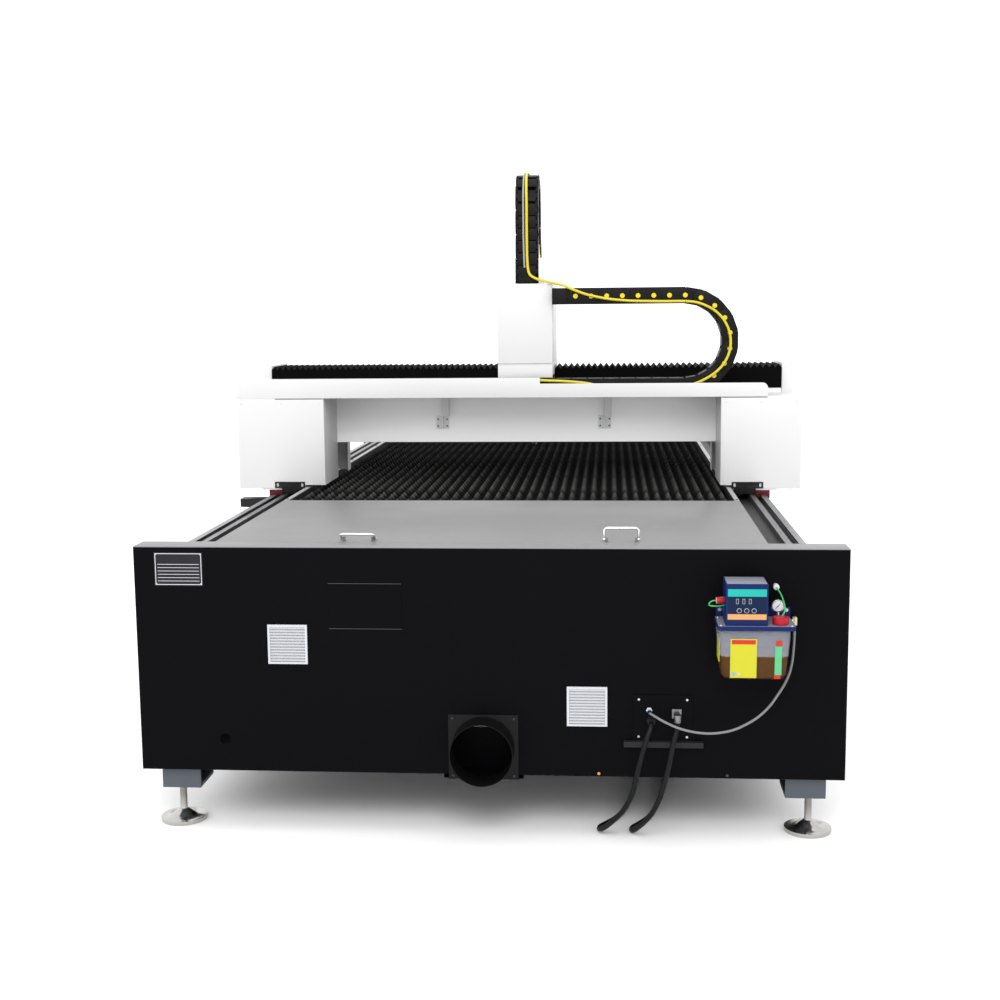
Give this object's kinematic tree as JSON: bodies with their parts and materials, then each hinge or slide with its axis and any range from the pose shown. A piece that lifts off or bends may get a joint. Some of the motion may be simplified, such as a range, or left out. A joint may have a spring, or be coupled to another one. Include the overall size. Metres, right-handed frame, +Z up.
{
  "type": "fiber laser cutting machine",
  "caption": "Open-bed gantry laser cutter: slatted sheet bed on levelling feet, sliding gantry, carriage and cutting head, cable chains, rear panel with exhaust spigot and oil pump.",
  "frame": {"origin": "centre of the footprint at floor level", "axes": "+X to the right seen from the rear panel, +Y from the rear panel to the front, +Z up"},
  "size_m": [2.39, 4.55, 2.2934],
  "materials": {
    "black_paint": "satin",
    "grey_paint": "satin",
    "white_paint": "satin",
    "slate_paint": "satin",
    "lip_paint": "satin",
    "slat_steel": "matte",
    "steel": "satin",
    "chrome": "polished",
    "motor_black": "satin",
    "chain_plastic": "matte",
    "bellows_fabric": "matte",
    "vent_plastic": "satin",
    "duct_plastic": "satin",
    "plate_metal": "satin",
    "pump_blue": "gloss",
    "tank_clear": "gloss",
    "oil": "gloss",
    "gauge_metal": "polished",
    "red_plastic": "gloss",
    "hose_grey": "satin",
    "cable_black": "matte",
    "fibre_yellow": "gloss",
    "head_metal": "satin"
  },
  "bodies": {
    "bed": {"bed_frame": "grey_paint", "bed_panels": "black_paint", "rear_panel": "black_paint", "end_caps": "grey_paint", "rear_deck": "grey_paint", "slat_lips": "lip_paint", "slats": "slat_steel", "rails": "steel", "racks": "steel", "foot_brackets": "slate_paint", "levelling_feet": "steel", "exhaust_duct": "duct_plastic", "vents": "vent_plastic", "access_cover": "black_paint", "name_plate": "plate_metal", "cable_plate": "black_paint", "bulkhead_fittings": "steel", "screws": "steel", "pump_body": "pump_blue", "pump_tank": "tank_clear", "pump_oil": "oil", "pump_gauge": "gauge_metal", "oil_hose": "hose_grey", "supply_cable": "cable_black", "control_cable": "cable_black", "cable_ends": "cable_black", "y_chain_lower": "chain_plastic"},
    "filler_cap": {"filler_cap": "red_plastic"},
    "handle_left": {"handle_left": "chrome"},
    "handle_right": {"handle_right": "chrome"},
    "drawer_rear": {"drawer_rear": "slate_paint"},
    "drawer_front": {"drawer_front": "slate_paint"},
    "y_loop": {"y_chain_loop": "chain_plastic"},
    "gantry": {"gantry_beam": "white_paint", "end_covers": "white_paint", "bearing_blocks": "steel", "wiper_plates": "black_paint", "chain_tray": "white_paint", "tray_brackets": "steel", "bellows_left": "bellows_fabric", "bellows_right": "bellows_fabric", "x_rails": "steel", "chain_arm": "black_paint", "y_motors": "motor_black", "x_chain_lower": "chain_plastic", "y_chain_upper": "chain_plastic"},
    "y_pinion_left": {"y_pinion_left": "steel"},
    "y_pinion_right": {"y_pinion_right": "steel"},
    "x_loop": {"x_chain_loop": "chain_plastic", "fibre_loop": "fibre_yellow"},
    "carriage": {"carriage_plate": "white_paint", "carriage_cover": "white_paint", "carriage_motors": "motor_black", "z_chain": "chain_plastic", "x_chain_upper": "chain_plastic", "fibre_upper": "fibre_yellow"},
    "x_pinion": {"x_pinion": "steel"},
    "head": {"z_slide": "steel", "cutting_head": "head_metal", "fibre_head": "fibre_yellow"}
  },
  "joints": [
    {"name": "gantry_slide", "type": "slide", "parent": "bed", "child": "gantry", "axis": [0, 1, 0], "range_m": [-1.06, 1.92], "deforming": ["y_chain_lower", "y_chain_upper"]},
    {"name": "carriage_slide", "type": "slide", "parent": "gantry", "child": "carriage", "axis": [1, 0, 0], "range_m": [-0.78, 0.72], "deforming": ["bellows_left", "bellows_right", "x_chain_lower", "x_chain_upper", "fibre_upper"]},
    {"name": "head_slide", "type": "slide", "parent": "carriage", "child": "head", "axis": [0, 0, 1], "range_m": [-0.09, 0.03], "deforming": ["z_chain", "fibre_head"]},
    {"name": "y_loop_slide", "type": "slide", "parent": "bed", "child": "y_loop", "axis": [0, 1, 0], "range_m": [-0.54, 0.97]},
    {"name": "x_loop_slide", "type": "slide", "parent": "gantry", "child": "x_loop", "axis": [1, 0, 0], "range_m": [-0.4, 0.37]},
    {"name": "y_pinion_left_turn", "type": "hinge", "parent": "gantry", "child": "y_pinion_left", "pos_m": [-0.9587, -0.475, 0.92], "axis": [0, 0, 1], "range_deg": [-2450, 4420]},
    {"name": "y_pinion_right_turn", "type": "hinge", "parent": "gantry", "child": "y_pinion_right", "pos_m": [0.9587, -0.475, 0.92], "axis": [0, 0, 1], "range_deg": [-4420, 2450]},
    {"name": "x_pinion_turn", "type": "hinge", "parent": "carriage", "child": "x_pinion", "pos_m": [0.04, -0.1847, 1.41], "axis": [0, 0, 1], "range_deg": [-2080, 2250]},
    {"name": "handle_left_fold", "type": "hinge", "parent": "bed", "child": "handle_left", "pos_m": [-0.429, -2, 0.969], "axis": [1, 0, 0], "range_deg": [-145, 25]},
    {"name": "handle_right_fold", "type": "hinge", "parent": "bed", "child": "handle_right", "pos_m": [0.436, -2, 0.969], "axis": [1, 0, 0], "range_deg": [-85, 85]},
    {"name": "drawer_rear_slide", "type": "slide", "parent": "bed", "child": "drawer_rear", "axis": [1, 0, 0], "range_m": [0, 1]},
    {"name": "drawer_front_slide", "type": "slide", "parent": "bed", "child": "drawer_front", "axis": [1, 0, 0], "range_m": [0, 1]},
    {"name": "filler_cap_turn", "type": "hinge", "parent": "bed", "child": "filler_cap", "pos_m": [0.923, -2.237, 0.755], "axis": [0, 0, 1], "continuous": true}
  ],
  "couplings": [
    {"joint": "y_loop_slide", "follows": "gantry_slide", "ratio": 0.5},
    {"joint": "x_loop_slide", "follows": "carriage_slide", "ratio": 0.5},
    {"joint": "y_pinion_left_turn", "follows": "gantry_slide", "rad_per_m": 40},
    {"joint": "y_pinion_right_turn", "follows": "gantry_slide", "rad_per_m": -40},
    {"joint": "x_pinion_turn", "follows": "carriage_slide", "rad_per_m": -50}
  ]
}
